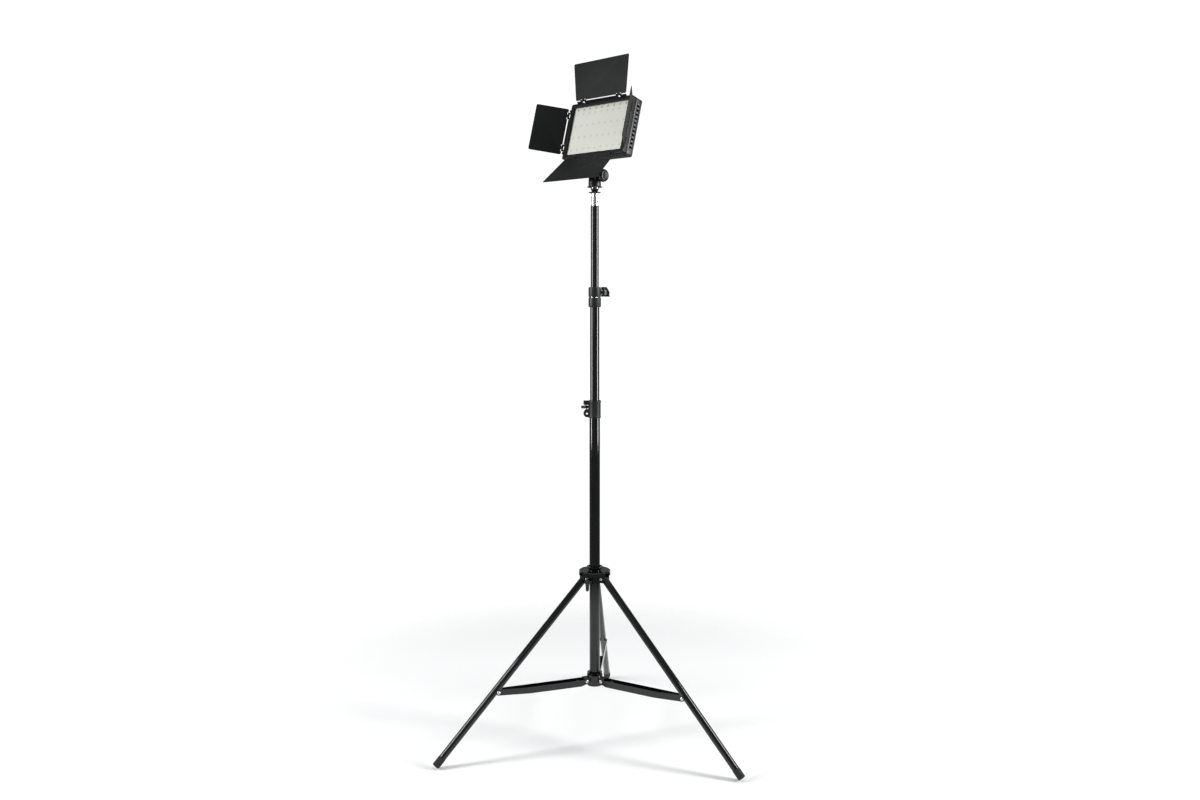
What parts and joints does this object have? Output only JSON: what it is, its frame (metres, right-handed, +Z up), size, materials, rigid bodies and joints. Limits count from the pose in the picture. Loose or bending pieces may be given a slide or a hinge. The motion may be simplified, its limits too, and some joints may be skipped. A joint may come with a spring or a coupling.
{
  "type": "led panel light",
  "caption": "LED video light panel with hinged barn doors on a tilting, panning adapter and a folding telescopic light stand with braced legs.",
  "frame": {"origin": "middle of the footprint's bounding box, on the ground under the three feet", "axes": "+Z up along the column; leg 1 points to +Y; the lamp faces between -X and -Y"},
  "size_m": [0.7068, 0.6146, 1.6089],
  "materials": {
    "gloss_black_tube": "high gloss black enamel on drawn steel tube",
    "bright_steel": "bright zinc and nickel plated steel",
    "clamp_plastic": "black moulded nylon with a fine texture",
    "rubber_foot": "matt black rubber",
    "black_steel": "black oxide steel",
    "door_paint": "satin black powder coat on sheet",
    "diffuser_sheet": "translucent milk white acrylic",
    "led_board_white": "white solder mask",
    "circuit_board_green": "green solder mask",
    "control_plastic": "semi gloss black ABS",
    "lamp_shell": "satin black moulded ABS"
  },
  "bodies": {
    "stand_column": {"lower_tube": "gloss_black_tube", "lower_hub": "gloss_black_tube", "lower_clamp_collar": "clamp_plastic", "lower_clamp_pin": "bright_steel", "hub_rivet_1": "bright_steel", "hub_rivet_2": "bright_steel", "hub_rivet_3": "bright_steel"},
    "leg_hub": {"upper_hub": "gloss_black_tube", "leg_rivet_1": "bright_steel", "leg_rivet_2": "bright_steel", "leg_rivet_3": "bright_steel"},
    "hub_lock": {"hub_lock_knob": "clamp_plastic"},
    "leg_1": {"leg_1": "gloss_black_tube", "foot_1": "rubber_foot"},
    "leg_2": {"leg_2": "gloss_black_tube", "foot_2": "rubber_foot"},
    "leg_3": {"leg_3": "gloss_black_tube", "foot_3": "rubber_foot"},
    "brace_1": {"brace_1": "gloss_black_tube", "brace_rivet_1": "bright_steel"},
    "brace_2": {"brace_2": "gloss_black_tube", "brace_rivet_2": "bright_steel"},
    "brace_3": {"brace_3": "gloss_black_tube", "brace_rivet_3": "bright_steel"},
    "lower_lever": {"lower_clamp_lever": "clamp_plastic"},
    "middle_section": {"middle_tube": "gloss_black_tube", "upper_clamp_collar": "clamp_plastic", "upper_clamp_pin": "bright_steel"},
    "upper_lever": {"upper_clamp_lever": "clamp_plastic"},
    "upper_section": {"upper_tube": "gloss_black_tube", "top_spigot": "bright_steel"},
    "lock_wheel": {"lock_wheel": "black_steel"},
    "adapter": {"adapter_base": "lamp_shell", "tilt_bolt": "bright_steel"},
    "tilt_knob": {"tilt_knob": "control_plastic"},
    "lamp_head": {"tilt_arm": "lamp_shell", "head_foot": "lamp_shell", "front_bezel": "lamp_shell", "diffuser": "diffuser_sheet", "led_board": "led_board_white", "rear_housing": "lamp_shell", "rear_cover": "lamp_shell", "driver_board": "circuit_board_green", "battery_plate": "lamp_shell", "door_top_pin_1": "black_steel", "door_top_pin_2": "black_steel", "door_bottom_pin_1": "black_steel", "door_bottom_pin_2": "black_steel", "door_left_pin_1": "black_steel", "door_left_pin_2": "black_steel", "door_right_pin_1": "black_steel", "door_right_pin_2": "black_steel"},
    "door_top": {"door_top": "door_paint"},
    "door_bottom": {"door_bottom": "door_paint"},
    "door_left": {"door_left": "door_paint"},
    "door_right": {"door_right": "door_paint"},
    "dimmer_knob": {"dimmer_knob": "control_plastic"},
    "colour_knob": {"colour_knob": "control_plastic"},
    "power_switch": {"power_switch": "control_plastic"}
  },
  "joints": [
    {"name": "hub_slide", "type": "slide", "parent": "stand_column", "child": "leg_hub", "axis": [0, 0, 1], "range_m": [0, 0.3005]},
    {"name": "hub_lock_turn", "type": "hinge", "parent": "leg_hub", "child": "hub_lock", "pos_m": [0, -0.09899, 0.39781], "axis": [-0.342, -0.9397, 0], "range_deg": [-180, 180]},
    {"name": "leg_hinge_1", "type": "hinge", "parent": "leg_hub", "child": "leg_1", "pos_m": [0, -0.07299, 0.40281], "axis": [-1, 0, 0], "range_deg": [-0.5, 38.8]},
    {"name": "leg_hinge_2", "type": "hinge", "parent": "leg_hub", "child": "leg_2", "pos_m": [-0.02252, -0.11199, 0.40281], "axis": [0.5, -0.866, 0], "range_deg": [-0.5, 38.8]},
    {"name": "leg_hinge_3", "type": "hinge", "parent": "leg_hub", "child": "leg_3", "pos_m": [0.02252, -0.11199, 0.40281], "axis": [0.5, 0.866, 0], "range_deg": [-0.5, 38.8]},
    {"name": "brace_hinge_1", "type": "hinge", "parent": "stand_column", "child": "brace_1", "pos_m": [0, -0.07399, 0.15], "axis": [1, 0, 0], "range_deg": [-0.5, 81.97]},
    {"name": "brace_hinge_2", "type": "hinge", "parent": "stand_column", "child": "brace_2", "pos_m": [-0.02165, -0.11149, 0.15], "axis": [-0.5, 0.866, 0], "range_deg": [-0.5, 81.97]},
    {"name": "brace_hinge_3", "type": "hinge", "parent": "stand_column", "child": "brace_3", "pos_m": [0.02165, -0.11149, 0.15], "axis": [-0.5, -0.866, 0], "range_deg": [-0.5, 81.97]},
    {"name": "lower_lever_turn", "type": "hinge", "parent": "stand_column", "child": "lower_lever", "pos_m": [-0.02042, -0.10078, 0.8102], "axis": [0, 0, 1], "range_deg": [0, 100]},
    {"name": "middle_slide", "type": "slide", "parent": "stand_column", "child": "middle_section", "axis": [0, 0, 1], "range_m": [-0.215, 0.3]},
    {"name": "upper_lever_turn", "type": "hinge", "parent": "middle_section", "child": "upper_lever", "pos_m": [0.02042, -0.0972, 1.0785], "axis": [0, 0, 1], "range_deg": [-100, 0]},
    {"name": "upper_slide", "type": "slide", "parent": "middle_section", "child": "upper_section", "axis": [0, 0, 1], "range_m": [-0.18, 0.33]},
    {"name": "lock_wheel_turn", "type": "hinge", "parent": "upper_section", "child": "lock_wheel", "pos_m": [0, -0.09899, 1.3072], "axis": [0, 0, 1], "continuous": true},
    {"name": "pan", "type": "hinge", "parent": "upper_section", "child": "adapter", "pos_m": [0, -0.09899, 1.344], "axis": [0, 0, 1], "range_deg": [-180, 180]},
    {"name": "tilt", "type": "hinge", "parent": "adapter", "child": "lamp_head", "pos_m": [0, -0.09899, 1.344], "axis": [-0.766, 0.6428, 0], "range_deg": [-30, 55]},
    {"name": "tilt_knob_turn", "type": "hinge", "parent": "adapter", "child": "tilt_knob", "pos_m": [0.01838, -0.11442, 1.344], "axis": [0.766, -0.6428, 0], "continuous": true},
    {"name": "door_top_hinge", "type": "hinge", "parent": "lamp_head", "child": "door_top", "pos_m": [0.01218, -0.08448, 1.52289], "axis": [0.766, -0.6428, 0], "range_deg": [-84, 129]},
    {"name": "door_bottom_hinge", "type": "hinge", "parent": "lamp_head", "child": "door_bottom", "pos_m": [-0.01126, -0.11241, 1.38679], "axis": [-0.766, 0.6428, 0], "range_deg": [-14, 109]},
    {"name": "door_left_hinge", "type": "hinge", "parent": "lamp_head", "child": "door_left", "pos_m": [-0.07559, -0.03085, 1.45407], "axis": [0.1664, 0.1983, 0.9659], "range_deg": [-112, 136]},
    {"name": "door_right_hinge", "type": "hinge", "parent": "lamp_head", "child": "door_right", "pos_m": [0.08023, -0.1616, 1.45407], "axis": [-0.1664, -0.1983, -0.9659], "range_deg": [-120, 128]},
    {"name": "dimmer_turn", "type": "hinge", "parent": "lamp_head", "child": "dimmer_knob", "pos_m": [0.09007, -0.10366, 1.46947], "axis": [0.6209, 0.7399, -0.2588], "range_deg": [-135, 135]},
    {"name": "colour_turn", "type": "hinge", "parent": "lamp_head", "child": "colour_knob", "pos_m": [0.08475, -0.11, 1.43856], "axis": [0.6209, 0.7399, -0.2588], "range_deg": [-135, 135]},
    {"name": "power_switch_rock", "type": "hinge", "parent": "lamp_head", "child": "power_switch", "pos_m": [0.0717, -0.12555, 1.40414], "axis": [0.1664, 0.1983, 0.9659], "range_deg": [0, 12]}
  ],
  "couplings": [
    {"joint": "leg_hinge_1", "follows": "hub_slide", "rad_per_m": 2.2245},
    {"joint": "leg_hinge_2", "follows": "hub_slide", "rad_per_m": 2.2245},
    {"joint": "leg_hinge_3", "follows": "hub_slide", "rad_per_m": 2.2245},
    {"joint": "brace_hinge_1", "follows": "hub_slide", "rad_per_m": 4.7321},
    {"joint": "brace_hinge_2", "follows": "hub_slide", "rad_per_m": 4.7321},
    {"joint": "brace_hinge_3", "follows": "hub_slide", "rad_per_m": 4.7321}
  ]
}
